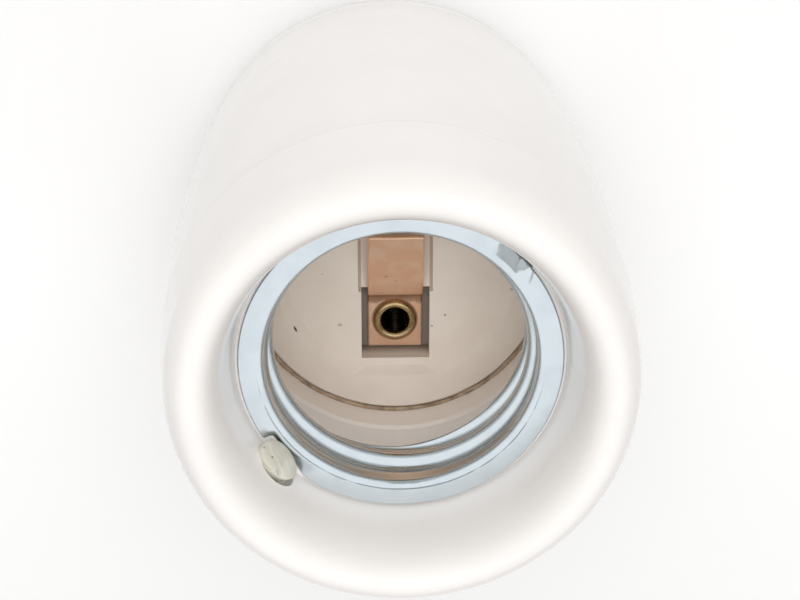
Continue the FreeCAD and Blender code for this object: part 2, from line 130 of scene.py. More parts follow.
def pierce(piece: Object, radius: float, centre: tuple[float, float], low: float,
           high: float) -> None:
    """Cut an upright round hole through a new piece.

    Args:
        piece: The piece to cut.
        radius: Radius of the hole in millimetres.
        centre: Its place as (x, y) in millimetres.
        low: Height where the cut starts.
        high: Height where it ends.
    """
    rows = [[polar(radius, angle, height) + Vector((*centre, 0.0)) for angle in circle(64)]
            for height in (low, high)]
    drill = grid_object("drill", rows, loop_rows=False, loop_columns=True, caps=True)
    cut = piece.modifiers.new("hole", "BOOLEAN")
    cut.operation = "DIFFERENCE"
    cut.solver = "EXACT"
    cut.object = drill
    solved = piece.evaluated_get(bpy.context.evaluated_depsgraph_get())
    cut_mesh = bpy.data.meshes.new_from_object(solved)
    piece.modifiers.remove(cut)
    piece.data = cut_mesh
    bpy.data.objects.remove(drill)


def place(piece: Object, body: str, stands_for: Iterable[str],
          finish: Material) -> None:
    """Seat a new piece on its body, dress it and hide the plain solid that it stands for.

    Args:
        piece: The new piece.
        body: Body that carries it.
        stands_for: Plain solids that the piece replaces.
        finish: Material of the piece.
    """
    piece.data.materials.append(finish)
    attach(piece, body)
    names = list(stands_for)
    if names:
        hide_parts(*names)
    LOG.info("%s: %d faces on %s for %s", piece.name, len(piece.data.polygons), body, names)


def dress(node: str, finish: Material) -> None:
    """Give a plain solid its finish.

    Args:
        node: Node of the plain solid.
        finish: Material that it gets.
    """
    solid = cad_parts[node]
    if not solid.material_slots:
        solid.data.materials.append(finish)
    for slot in solid.material_slots:
        slot.material = finish
    LOG.info("%s: finished as %s", node, finish.name)


# ---------------------------------------------------------------- node trees
class Bench:
    """Short calls for laying out one node tree."""

    def __init__(self, tree: NodeTree, groups: dict[str, NodeTree] | None = None) -> None:
        """Keep the tree that the calls work on and the shared effects that they may place."""
        self.tree = tree
        self.groups = groups or {}

    def feed(self, socket: Socket, source: object) -> None:
        """Link a socket to another one, or set its own number, vector or colour.

        Args:
            socket: Socket that is fed.
            source: Another socket, a number, a vector or a colour.
        """
        if isinstance(source, bpy.types.NodeSocket):
            self.tree.links.new(source, socket)
        elif isinstance(source, tuple) and socket.type == "RGBA" and len(source) == 3:
            socket.default_value = (*source, 1.0)
        else:
            socket.default_value = source

    def node(self, kind: str, settings: dict[str, object] | None = None,
             **inputs: object) -> Node:
        """Add a node.

        Args:
            kind: Blender's name of the node type.
            settings: Properties of the node itself.
            **inputs: What feeds its sockets, by socket name with underscores for spaces.

        Returns:
            The new node.
        """
        node = self.tree.nodes.new(kind)
        for name, value in (settings or {}).items():
            setattr(node, name, value)
        self.fill(node, **inputs)
        return node

    def fill(self, node: Node, **inputs: object) -> None:
        """Feed a node's sockets by name, with underscores for spaces."""
        for name, source in inputs.items():
            self.feed(node.inputs[name.replace("_", " ")], source)

    def math(self, operation: str, a: object, b: object = 0.0, clamp: bool = False) -> Socket:
        """Result of a Math node on one or two values.

        Args:
            operation: Blender's name of the operation.
            a: First value.
            b: Second value, where the operation has one.
            clamp: Whether the result stays between 0 and 1.

        Returns:
            The result.
        """
        node = self.node("ShaderNodeMath", {"operation": operation, "use_clamp": clamp})
        self.feed(node.inputs[0], a)
        self.feed(node.inputs[1], b)
        return node.outputs[0]

    def times(self, a: object, b: object) -> Socket:
        """Product of two values."""
        return self.math("MULTIPLY", a, b)

    def plus(self, a: object, b: object) -> Socket:
        """Sum of two values."""
        return self.math("ADD", a, b)

    def most(self, first: Socket, *others: Socket) -> Socket:
        """Largest of some values.

        Args:
            first: One value.
            *others: The other values.

        Returns:
            The largest.
        """
        for other in others:
            first = self.math("MAXIMUM", first, other)
        return first

    def apart(self, a: object, b: object) -> Socket:
        """How far apart two values are."""
        return self.math("ABSOLUTE", self.math("SUBTRACT", a, b))

    def vector(self, operation: str, a: object, b: object = (0.0, 0.0, 0.0)) -> Node:
        """Vector Math node on one or two vectors.

        Args:
            operation: Blender's name of the operation.
            a: First vector.
            b: Second vector, where the operation has one.

        Returns:
            The new node.
        """
        node = self.node("ShaderNodeVectorMath", {"operation": operation})
        self.feed(node.inputs[0], a)
        self.feed(node.inputs[1], b)
        return node

    def span(self, value: Socket, low: float, high: float) -> Socket:
        """Smooth rise of a value from 0 at low to 1 at high; it falls where high is the lower.

        Args:
            value: The value.
            low: Where the rise starts.
            high: Where the rise ends.

        Returns:
            The rise, level at both ends.
        """
        settings = {"interpolation_type": "SMOOTHSTEP"}
        if high < low:
            falling = self.node("ShaderNodeMapRange", settings, Value=value, From_Min=high,
                                From_Max=low, To_Min=1.0, To_Max=0.0)
            return falling.outputs[0]
        rising = self.node("ShaderNodeMapRange", settings, Value=value, From_Min=low, From_Max=high)
        return rising.outputs[0]

    def blend(self, share: object, a: object, b: object) -> Socket:
        """Colour that goes from a to b with share.

        Args:
            share: Share of b, from 0 to 1.
            a: Colour where share is 0.
            b: Colour where share is 1.

        Returns:
            The colour.
        """
        node = self.node("ShaderNodeMix", {"data_type": "RGBA"})
        self.feed(node.inputs["Factor"], share)
        self.feed(node.inputs[6], a)
        self.feed(node.inputs[7], b)
        return node.outputs[2]

    def cloud(self, position: object, scale: object, detail: float = 3.0) -> Socket:
        """Noise value at a scale per metre."""
        return self.node("ShaderNodeTexNoise", Vector=position, Scale=scale, Detail=detail).outputs["Fac"]

    def noise(self, position: object, size: float, detail: float = 3.0) -> Socket:
        """Noise value whose features are about size millimetres wide."""
        return self.cloud(position, 1.0 / (size * MM), detail)

    def effect(self, name: str, position: Socket, **inputs: object) -> dict[str, Socket]:
        """Place a shared effect with its own values, and return its outputs by name."""
        node = self.node("ShaderNodeGroup", {"node_tree": self.groups[name]}, Position=position, **inputs)
        return {socket.name: socket for socket in node.outputs}


class EffectKind(Enum):
    """Kinds of socket that a shared effect takes and gives."""

    NUMBER = "NodeSocketFloat"
    PLACE = "NodeSocketVector"
    PAINT = "NodeSocketColor"


@dataclass
class Effects:
    """Shared effects, each laid out once as a node group."""

    groups: dict[str, NodeTree] = field(default_factory=dict)

    def start(self, name: str, takes: dict[str, EffectKind],
              gives: dict[str, EffectKind]) -> tuple[Bench, dict[str, Socket], Node]:
        """Begin a node group.

        Args:
            name: Name of the effect.
            takes: Its inputs and their kinds, besides the position that every effect takes.
            gives: Its outputs and their kinds.

        Returns:
            The bench for its tree, what it takes by name, and its output node.
        """
        tree = bpy.data.node_groups.new(name, "ShaderNodeTree")
        for label, kind in {"Position": EffectKind.PLACE, **takes}.items():
            tree.interface.new_socket(label, in_out="INPUT", socket_type=kind.value)
        for label, kind in gives.items():
            tree.interface.new_socket(label, in_out="OUTPUT", socket_type=kind.value)
        bench = Bench(tree)
        self.groups[name] = tree
        taken = {socket.name: socket for socket in bench.node("NodeGroupInput").outputs}
        return bench, taken, bench.node("NodeGroupOutput")

    def build(self) -> "Effects":
        """Lay out every shared effect.

        Returns:
            These effects, ready to place.
        """
        for lay_out in (self.build_polar, self.build_unevenness, self.build_specks,
                        self.build_streaks, self.build_ageing, self.build_mark):
            lay_out()
        return self

    def build_polar(self) -> None:
        """Radius and height in millimetres and angle in radians about an upright axis."""
        bench, taken, gives = self.start(
            "about_axis", {"Centre": EffectKind.PLACE},
            {"Radius": EffectKind.NUMBER, "Height": EffectKind.NUMBER, "Angle": EffectKind.NUMBER})
        offset = bench.vector("SUBTRACT", taken["Position"], taken["Centre"])
        x, y, z = bench.node("ShaderNodeSeparateXYZ", Vector=offset.outputs[0]).outputs
        square = bench.plus(bench.times(x, x), bench.times(y, y))
        bench.fill(gives, Radius=bench.times(bench.math("SQRT", square), 1.0 / MM),
                   Height=bench.times(z, 1.0 / MM), Angle=bench.math("ARCTAN2", y, x))

    def build_unevenness(self) -> None:
        """Soft waviness with a fine grain on it, as on fired and glazed clay."""
        bench, taken, gives = self.start(
            "uneven_body", {"Wave scale": EffectKind.NUMBER, "Grain scale": EffectKind.NUMBER,
                            "Grain share": EffectKind.NUMBER},
            {"Height": EffectKind.NUMBER, "Tone": EffectKind.NUMBER})
        wave = bench.cloud(taken["Position"], taken["Wave scale"], 2.0)
        grain = bench.cloud(taken["Position"], taken["Grain scale"], 4.0)
        mixed = bench.node("ShaderNodeMix", {"data_type": "FLOAT"})
        bench.feed(mixed.inputs["Factor"], taken["Grain share"])
        bench.feed(mixed.inputs[2], wave)
        bench.feed(mixed.inputs[3], grain)
        bench.fill(gives, Height=mixed.outputs[0], Tone=wave)

    def build_specks(self) -> None:
        """Scattered round specks: one in each chosen cell, of uneven size."""
        bench, taken, gives = self.start(
            "scattered_specks", {"Cell scale": EffectKind.NUMBER, "Size": EffectKind.NUMBER,
                                 "Share": EffectKind.NUMBER}, {"Mask": EffectKind.NUMBER})
        cells = bench.node("ShaderNodeTexVoronoi", Vector=taken["Position"],
                           Scale=taken["Cell scale"], Randomness=1.0)
        pick = bench.node("ShaderNodeSeparateColor", Color=cells.outputs["Color"])
        chosen = bench.math("LESS_THAN", pick.outputs[0], taken["Share"])
        reach = bench.times(taken["Size"], bench.plus(pick.outputs[1], 0.25))
        dot = bench.span(bench.math("DIVIDE", cells.outputs["Distance"], reach), 1.0, 0.45)
        bench.fill(gives, Mask=bench.times(dot, chosen))

    def build_streaks(self) -> None:
        """Fine lines left by drawing and rubbing, long in one direction of the sheet."""
        bench, taken, gives = self.start(
            "drawn_streaks", {"Stretch": EffectKind.PLACE, "Scale": EffectKind.NUMBER},
            {"Height": EffectKind.NUMBER, "Tone": EffectKind.NUMBER})
        squeezed = bench.vector("MULTIPLY", taken["Position"], taken["Stretch"])
        lines = bench.cloud(squeezed.outputs[0], taken["Scale"])
        bench.fill(gives, Height=lines, Tone=bench.span(lines, 0.35, 0.7))

    def build_ageing(self) -> None:
        """Clean colour that turns to an aged one in cloudy patches."""
        bench, taken, gives = self.start(
            "aged_patches", {"Clean": EffectKind.PAINT, "Aged": EffectKind.PAINT,
                             "Scale": EffectKind.NUMBER, "Amount": EffectKind.NUMBER},
            {"Colour": EffectKind.PAINT, "Mask": EffectKind.NUMBER})
        cloud = bench.cloud(taken["Position"], taken["Scale"], 5.0)
        patch = bench.math("MULTIPLY", bench.span(cloud, 0.38, 0.68), taken["Amount"], clamp=True)
        bench.fill(gives, Colour=bench.blend(patch, taken["Clean"], taken["Aged"]), Mask=patch)

    def build_mark(self) -> None:
        """One ragged oval mark, seen from above."""
        bench, taken, gives = self.start(
            "oval_mark", {"Centre": EffectKind.PLACE, "Stretch": EffectKind.PLACE,
                          "Turn": EffectKind.NUMBER}, {"Mask": EffectKind.NUMBER})
        offset = bench.vector("SUBTRACT", taken["Position"], taken["Centre"])
        turned = bench.node("ShaderNodeVectorRotate", {"rotation_type": "Z_AXIS"},
                            Vector=offset.outputs[0], Angle=taken["Turn"])
        shaped = bench.vector("MULTIPLY", turned.outputs[0], taken["Stretch"])
        reach = bench.vector("LENGTH", shaped.outputs[0]).outputs["Value"]
        ragged = bench.times(bench.noise(taken["Position"], 0.15), 0.5)
        bench.fill(gives, Mask=bench.span(bench.plus(reach, ragged), 1.35, 0.9))


@dataclass(frozen=True)
class Mark:
    """One oval mark: its place, half length and half width in millimetres, turn and strength."""

    x: float
    y: float
    length: float
    width: float
    turn: float = 0.0
    strength: float = 1.0

    def mask(self, bench: Bench, position: Socket) -> Socket:
        """Lay out the mark in a tree and return its mask.

        Args:
            bench: Bench of the material's tree.
            position: The piece's own coordinates.

        Returns:
            The mask, from 0 beside the mark to its strength in it.
        """
        mark = bench.effect("oval_mark", position, Centre=(self.x * MM, self.y * MM, 0.0),
                            Stretch=(1.0 / (self.length * MM), 1.0 / (self.width * MM), 0.0),
                            Turn=-math.radians(self.turn))
        return bench.times(mark["Mask"], self.strength)


# ---------------------------------------------------------------- finishes
@dataclass(frozen=True)
class Finish:
    """What every finish shares; depth is that of its relief, in millimetres."""

    effects: Effects
    name: str = "finish"
    metallic: float = 0.0
    depth: float = 0.05
    roughness: float = 0.6
    rough_gain: float = 0.3

    def rough(self, bench: Bench, tone: Socket) -> Socket:
        """Roughness that rises with a tone."""
        return bench.plus(self.roughness, bench.times(tone, self.rough_gain))

    def layers(self, bench: Bench, position: Socket) -> tuple[Socket, Socket, Socket]:
        """Lay out what the finish is made of.

        Args:
            bench: Bench of the material's tree.
            position: The piece's own coordinates.

        Returns:
            Its colour, its roughness and the height of its relief, over the surface.
        """
        raise NotImplementedError

    def material(self) -> Material:
        """Make the material and feed its shader from the layers.

        Returns:
            The material.
        """
        material = bpy.data.materials.new(self.name)
        material.use_nodes = True
        bench = Bench(material.node_tree, self.effects.groups)
        colour, rough, height = self.layers(bench, bench.node("ShaderNodeTexCoord").outputs["Object"])
        bump = bench.node("ShaderNodeBump", Strength=1.0, Distance=self.depth * MM, Height=height)
        bench.fill(material.node_tree.nodes["Principled BSDF"], Base_Color=colour, Roughness=rough,
                   Metallic=self.metallic, Normal=bump.outputs[0])
        return material


@dataclass(frozen=True)
class Porcelain(Finish):
    """White glazed porcelain, bare and warmer low inside the housing."""

    name: str = "glazed_porcelain"
    roughness: float = 0.13
    rough_gain: float = 0.35
    glaze: Colour = (0.925, 0.895, 0.870)
    pooled: Colour = (0.905, 0.875, 0.850)
    bare: Colour = (0.92, 0.845, 0.77)
    fleck: Colour = (0.30, 0.25, 0.20)
    bare_radius: tuple[float, float] = (16.3, 15.9)
    bare_height: tuple[float, float] = (35.4, 34.6)

    def layers(self, bench: Bench, position: Socket) -> tuple[Socket, Socket, Socket]:
        """Lay out the glaze and the bare ceramic behind it.

        Args:
            bench: Bench of the material's tree.
            position: The piece's own coordinates.

        Returns:
            Its colour, its roughness and the height of its relief, over the surface.
        """
        body = bench.effect("uneven_body", position, Wave_scale=90.0, Grain_scale=1400.0, Grain_share=0.12)
        around = bench.effect("about_axis", position)
        inner = bench.times(bench.span(around["Radius"], *self.bare_radius),
                            bench.span(around["Height"], *self.bare_height))
        glazed = bench.blend(bench.span(body["Tone"], 0.35, 0.65), self.glaze, self.pooled)
        colour = bench.blend(inner, glazed, self.bare)
        flecks = bench.effect("scattered_specks", position, Cell_scale=170.0, Size=0.03, Share=0.008)
        colour = bench.blend(flecks["Mask"], colour, self.fleck)
        return colour, self.rough(bench, inner), body["Height"]


@dataclass(frozen=True)
class BareCeramic(Finish):
    """Unglazed cream ceramic of the insert, with dark specks, stains and painted shade in its recesses."""

    name: str = "insert_ceramic"
    depth: float = 0.03
    roughness: float = 0.42
    rough_gain: float = 0.2
    body: Colour = (0.86, 0.775, 0.69)
    stained: Colour = (0.79, 0.70, 0.61)
    speck: Colour = (0.10, 0.075, 0.06)
    # Colour, strength, heights and radii of the painted shade low in the insert's recesses.
    painted_shade: Colour = (0.17, 0.135, 0.11)
    painted_shade_share: float = 0.8
    painted_shade_height: tuple[float, float] = (29.2, 27.4)
    painted_shade_radius: tuple[float, float] = (14.0, 13.0)
    marks: tuple[Mark, ...] = (
        Mark(-10.45, -6.22, 0.42, 0.11, -62.0), Mark(-5.8, -6.17, 0.24, 0.18, 0.0, 0.45),
        Mark(5.17, -5.15, 0.13, 0.11, 0.0, 0.8), Mark(3.8, -6.4, 0.14, 0.1, 0.0, 0.8),
        Mark(12.1, -1.9, 0.34, 0.16, 25.0, 0.4), Mark(-7.6, -0.3, 0.12, 0.1, 0.0, 0.3),
    )

    def layers(self, bench: Bench, position: Socket) -> tuple[Socket, Socket, Socket]:
        """Lay out the ceramic with its specks, marks and painted shade in its recesses.

        Args:
            bench: Bench of the material's tree.
            position: The piece's own coordinates.

        Returns:
            Its colour, its roughness and the height of its relief, over the surface.
        """
        body = bench.effect("uneven_body", position, Wave_scale=260.0, Grain_scale=2600.0, Grain_share=0.35)
        aged = bench.effect("aged_patches", position, Clean=self.body, Aged=self.stained, Scale=210.0,
                            Amount=0.55)
        specks = bench.effect("scattered_specks", position, Cell_scale=290.0, Size=0.045, Share=0.06)
        dark = bench.most(specks["Mask"], *(mark.mask(bench, position) for mark in self.marks))
        around = bench.effect("about_axis", position)
        # Painted shade: darker brown below the face, within about 14 mm of the axis.
        deep_shade = bench.times(bench.span(around["Height"], *self.painted_shade_height),
                           bench.span(around["Radius"], *self.painted_shade_radius))
        colour = bench.blend(bench.times(deep_shade, self.painted_shade_share), aged["Colour"], self.painted_shade)
        colour = bench.blend(dark, colour, self.speck)
        return colour, self.rough(bench, body["Tone"]), body["Height"]


@dataclass(frozen=True)
class CloudyFinish(Finish):
    """Matt stuff in two shades that lie in patches, with a grain of its own."""

    light: Colour = (0.5, 0.5, 0.5)
    dark: Colour = (0.4, 0.4, 0.4)
    patch_scale: float = 900.0
    wave_scale: float = 1200.0
    grain_scale: float = 6000.0
    grain_share: float = 0.5
    depth: float = 0.12

    def layers(self, bench: Bench, position: Socket) -> tuple[Socket, Socket, Socket]:
        """Lay out the two shades and their grain.

        Args:
            bench: Bench of the material's tree.
            position: The piece's own coordinates.

        Returns:
            Its colour, its roughness and the height of its relief, over the surface.
        """
        aged = bench.effect("aged_patches", position, Clean=self.light, Aged=self.dark,
                            Scale=self.patch_scale, Amount=1.0)
        body = bench.effect("uneven_body", position, Wave_scale=self.wave_scale,
                            Grain_scale=self.grain_scale, Grain_share=self.grain_share)
        return aged["Colour"], self.rough(bench, body["Tone"]), body["Height"]


@dataclass(frozen=True)
class JointCement(CloudyFinish):
    """Brown cement squeezed out of the joint."""

    name: str = "joint_cement"
    light: Colour = (0.50, 0.375, 0.265)
    dark: Colour = (0.29, 0.205, 0.135)


@dataclass(frozen=True)
class VulcanFibre(CloudyFinish):
    """Red-brown pressed fibre of the washer."""

    name: str = "fibre"
    light: Colour = (0.33, 0.12, 0.07)
    dark: Colour = (0.22, 0.075, 0.045)
    patch_scale: float = 800.0
    wave_scale: float = 900.0
    grain_scale: float = 5000.0
    grain_share: float = 0.6
    rough_gain: float = 0.2
    depth: float = 0.04


@dataclass(frozen=True)
class PlugCement(Finish):
    """Pale grey-green setting compound of the two plugs, specked and finely cracked."""

    name: str = "plug_cement"
    depth: float = 0.06
    roughness: float = 0.28
    rough_gain: float = 0.25
    body: Colour = (0.60, 0.585, 0.50)
    pale: Colour = (0.70, 0.69, 0.62)
    chip: Colour = (0.27, 0.24, 0.19)
    cracks: tuple[Mark, ...] = (Mark(-12.8, -9.45, 0.75, 0.06, -41.0, 0.6),
                                Mark(-11.8, -10.2, 0.4, 0.06, -75.0, 0.6))

    def layers(self, bench: Bench, position: Socket) -> tuple[Socket, Socket, Socket]:
        """Lay out the compound with its specks and cracks.

        Args:
            bench: Bench of the material's tree.
            position: The piece's own coordinates.

        Returns:
            Its colour, its roughness and the height of its relief, over the surface.
        """
        aged = bench.effect("aged_patches", position, Clean=self.body, Aged=self.pale, Scale=600.0,
                            Amount=0.9)
        chips = bench.effect("scattered_specks", position, Cell_scale=1300.0, Size=0.3, Share=0.16)
        body = bench.effect("uneven_body", position, Wave_scale=700.0, Grain_scale=3500.0, Grain_share=0.3)
        dark = bench.most(chips["Mask"], *(crack.mask(bench, position) for crack in self.cracks))
        colour = bench.blend(dark, aged["Colour"], self.chip)
        return colour, self.rough(bench, body["Tone"]), body["Height"]


@dataclass(frozen=True)
class PlatedSteel(Finish):
    """Blue-passivated zinc plating on drawn sheet, rubbed and faintly streaked."""

    name: str = "plated_steel"
    metallic: float = 1.0
    depth: float = 0.1
    roughness: float = 0.19
    rough_gain: float = 0.06
    worn_gain: float = 0.08
    # Strength of the painted dark lines of reflection and shade.
    painted_line_strength: float = 0.7
    streak_depth: float = 0.06
    bright: Colour = (0.71, 0.785, 0.83)
    dull: Colour = (0.56, 0.63, 0.68)
    # Colour of the painted dark lines of reflection and shade.
    painted_shade: Colour = (0.16, 0.17, 0.18)
    stretch: tuple[float, float, float] = (1.0, 1.0, 9.0)
    bend_at: float = 13.7
    edge_at: float = 15.4
    flange_from: tuple[float, float] = (50.9, 51.1)
    scuffed: tuple[float, float] = (-1.72, -1.18)

    def painted_dark_lines(self, bench: Bench, position: Socket, around: dict[str, Socket]) -> Socket:
        """Mask of the thin painted lines: dark reflection along the flange's bend, on its lower side, and
        shade at its edge.

        Args:
            bench: Bench of the material's tree.
            position: The piece's own coordinates.
            around: Radius, height and angle about the holder's axis.

        Returns:
            The mask.
        """
        waver = bench.times(bench.noise(position, 1.4), 0.08)
        off_bend = bench.apart(bench.plus(around["Radius"], waver), self.bend_at + 0.04)
        along = bench.node("ShaderNodeSeparateXYZ", Vector=position).outputs["Y"]
        bend = bench.times(bench.span(off_bend, 0.10, 0.03), bench.span(along, 0.0, -9.0 * MM))
        edge = bench.span(around["Radius"], self.edge_at - 0.12, self.edge_at - 0.02)
        thin = bench.span(bench.noise(position, 2.2), 0.25, 0.5)
        lines = bench.times(bench.most(bend, edge), thin)
        return bench.times(lines, bench.span(around["Height"], *self.flange_from))

    def scuffs(self, bench: Bench, position: Socket, around: dict[str, Socket]) -> Socket:
        """Height of the small scuffs that lamp caps left on the lip's lower side.

        Args:
            bench: Bench of the material's tree.
            position: The piece's own coordinates.
            around: Radius, height and angle about the holder's axis.

        Returns:
            The height of the scuffs.
        """
        low, high = self.scuffed
        turn, radius = around["Angle"], around["Radius"]
        rubbed = bench.times(bench.span(turn, low, low + 0.12), bench.span(turn, high, high - 0.3))
        rubbed = bench.times(rubbed, bench.span(radius, self.bend_at + 0.12, self.bend_at - 0.05))
        rubbed = bench.times(rubbed, bench.span(radius, self.bend_at - 0.62, self.bend_at - 0.4))
        return bench.times(bench.noise(position, 0.22, 4.0), rubbed)

    def layers(self, bench: Bench, position: Socket) -> tuple[Socket, Socket, Socket]:
        """Lay out the plated sheet with its streaks, painted dark lines and scuffs.

        Args:
            bench: Bench of the material's tree.
            position: The piece's own coordinates.

        Returns:
            Its colour, its roughness and the height of its relief, over the surface.
        """
        streaks = bench.effect("drawn_streaks", position, Stretch=self.stretch, Scale=420.0)
        aged = bench.effect("aged_patches", position, Clean=self.bright, Aged=self.dull, Scale=320.0,
                            Amount=0.3)
        around = bench.effect("about_axis", position)
        # Painted dark reflection and shade as thin lines at the bend and the flange's edge.
        lines = bench.times(self.painted_dark_lines(bench, position, around), self.painted_line_strength)
        rough = bench.plus(self.rough(bench, streaks["Tone"]), bench.times(aged["Mask"], self.worn_gain))
        height = bench.plus(bench.times(streaks["Height"], self.streak_depth),
                            self.scuffs(bench, position, around))
        return bench.blend(lines, aged["Colour"], self.painted_shade), rough, height


@dataclass(frozen=True)
class RolledCopper(Finish):
    """Dull pink copper strip with dark specks, and painted shade in brown at the bend and round its rivet.
    """

    name: str = "rolled_copper"
    metallic: float = 0.6
    depth: float = 0.02
    roughness: float = 0.36
    rough_gain: float = 0.14
    clean: Colour = (0.90, 0.56, 0.37)
    pale: Colour = (0.93, 0.66, 0.47)
    # Brown of the specks and of the painted shade at the bend and round the rivet.
    brown: Colour = (0.26, 0.125, 0.07)
    rivet_at: float = -6.8
    rivet_radius: float = 2.25
    ring_shade_share: float = 0.85
    bend_shade_share: float = 0.7
    speck_share: float = 0.5
    bend_low: float = -4.7
    bend_high: float = -2.85

    def layers(self, bench: Bench, position: Socket) -> tuple[Socket, Socket, Socket]:
        """Lay out the copper with its specks and its painted shade: a brown band at the bend and a ring
        round the rivet.

        Args:
            bench: Bench of the material's tree.
            position: The piece's own coordinates.

        Returns:
            Its colour, its roughness and the height of its relief, over the surface.
        """
        aged = bench.effect("aged_patches", position, Clean=self.clean, Aged=self.pale, Scale=520.0,
                            Amount=0.9)
        streaks = bench.effect("drawn_streaks", position, Stretch=(1.0, 6.0, 1.0), Scale=900.0)
        near = bench.effect("about_axis", position, Centre=(0.0, self.rivet_at * MM, 0.0))
        # Painted shade: a brown ring where the rivet's head sits on the strip.
        ring = bench.span(bench.apart(near["Radius"], self.rivet_radius), 0.28, 0.05)
        along = bench.node("ShaderNodeSeparateXYZ", Vector=position).outputs["Y"]
        ragged = bench.plus(bench.times(along, 1.0 / MM), bench.times(bench.noise(position, 0.8), 0.9))
        # Painted shade: a ragged brown band across the crushed bend.
        bend = bench.times(bench.span(ragged, self.bend_low, self.bend_low + 0.6),
                           bench.span(ragged, self.bend_high, self.bend_high - 0.9))
        specks = bench.effect("scattered_specks", position, Cell_scale=900.0, Size=0.22, Share=0.12)
        dark = bench.most(bench.times(ring, self.ring_shade_share), bench.times(bend, self.bend_shade_share),
                          bench.times(specks["Mask"], self.speck_share))
        colour = bench.blend(dark, aged["Colour"], self.brown)
        return colour, self.rough(bench, streaks["Tone"]), streaks["Height"]


@dataclass(frozen=True)
class Brass(Finish):
    """Rolled and turned brass, a little tarnished."""

    name: str = "brass"
    metallic: float = 1.0
    depth: float = 0.01
    roughness: float = 0.2
    rough_gain: float = 0.12
    clean: Colour = (0.66, 0.50, 0.27)
    aged: Colour = (0.46, 0.32, 0.15)

    def layers(self, bench: Bench, position: Socket) -> tuple[Socket, Socket, Socket]:
        """Lay out the tarnished brass.

        Args:
            bench: Bench of the material's tree.
            position: The piece's own coordinates.

        Returns:
            Its colour, its roughness and the height of its relief, over the surface.
        """
        aged = bench.effect("aged_patches", position, Clean=self.clean, Aged=self.aged, Scale=700.0,
                            Amount=0.8)
        streaks = bench.effect("drawn_streaks", position, Stretch=(1.0, 1.0, 8.0), Scale=900.0)
        return aged["Colour"], self.rough(bench, streaks["Tone"]), streaks["Height"]


@dataclass(frozen=True)
class PlainSteel(Finish):
    """Steel of the bush, nuts, screws and clamps, zinc-grey or blackened."""

    name: str = "zinc_steel"
    metallic: float = 1.0
    depth: float = 0.012
    clean: Colour = (0.58, 0.59, 0.58)
    aged: Colour = (0.40, 0.39, 0.36)
    roughness: float = 0.3
    rough_gain: float = 0.2

    def layers(self, bench: Bench, position: Socket) -> tuple[Socket, Socket, Socket]:
        """Lay out the steel.

        Args:
            bench: Bench of the material's tree.
            position: The piece's own coordinates.

        Returns:
            Its colour, its roughness and the height of its relief, over the surface.
        """
        aged = bench.effect("aged_patches", position, Clean=self.clean, Aged=self.aged, Scale=380.0,
                            Amount=0.8)
        body = bench.effect("uneven_body", position, Wave_scale=500.0, Grain_scale=3000.0, Grain_share=0.4)
        return aged["Colour"], self.rough(bench, aged["Mask"]), body["Height"]


# ---------------------------------------------------------------- pieces
@dataclass(frozen=True)
class Notch:
    """Notch in the shell's flange, with distances along the edge in millimetres."""

    angle: float
    fall: tuple[float, float]
    rise: tuple[float, float]
    floor: float
    press: float
    fold: tuple[float, float]

    def across(self, angle: float, radius: float) -> float:
        """Distance along the edge from the notch's middle, positive against the clock."""
        return turn_between(angle, math.radians(self.angle)) * radius

    def depth(self, angle: float, radius: float) -> float:
        """How far the notch is open here, from 0 beside it to 1 at its floor."""
        along = self.across(angle, radius)
        return smooth(along, *self.fall) * (1.0 - smooth(along, *self.rise))


class Region(Enum):
    """Regions of the shell's sheet, from the flange's edge inwards."""

    FLANGE = "flange"
    BEND = "bend"
    BORE = "bore"


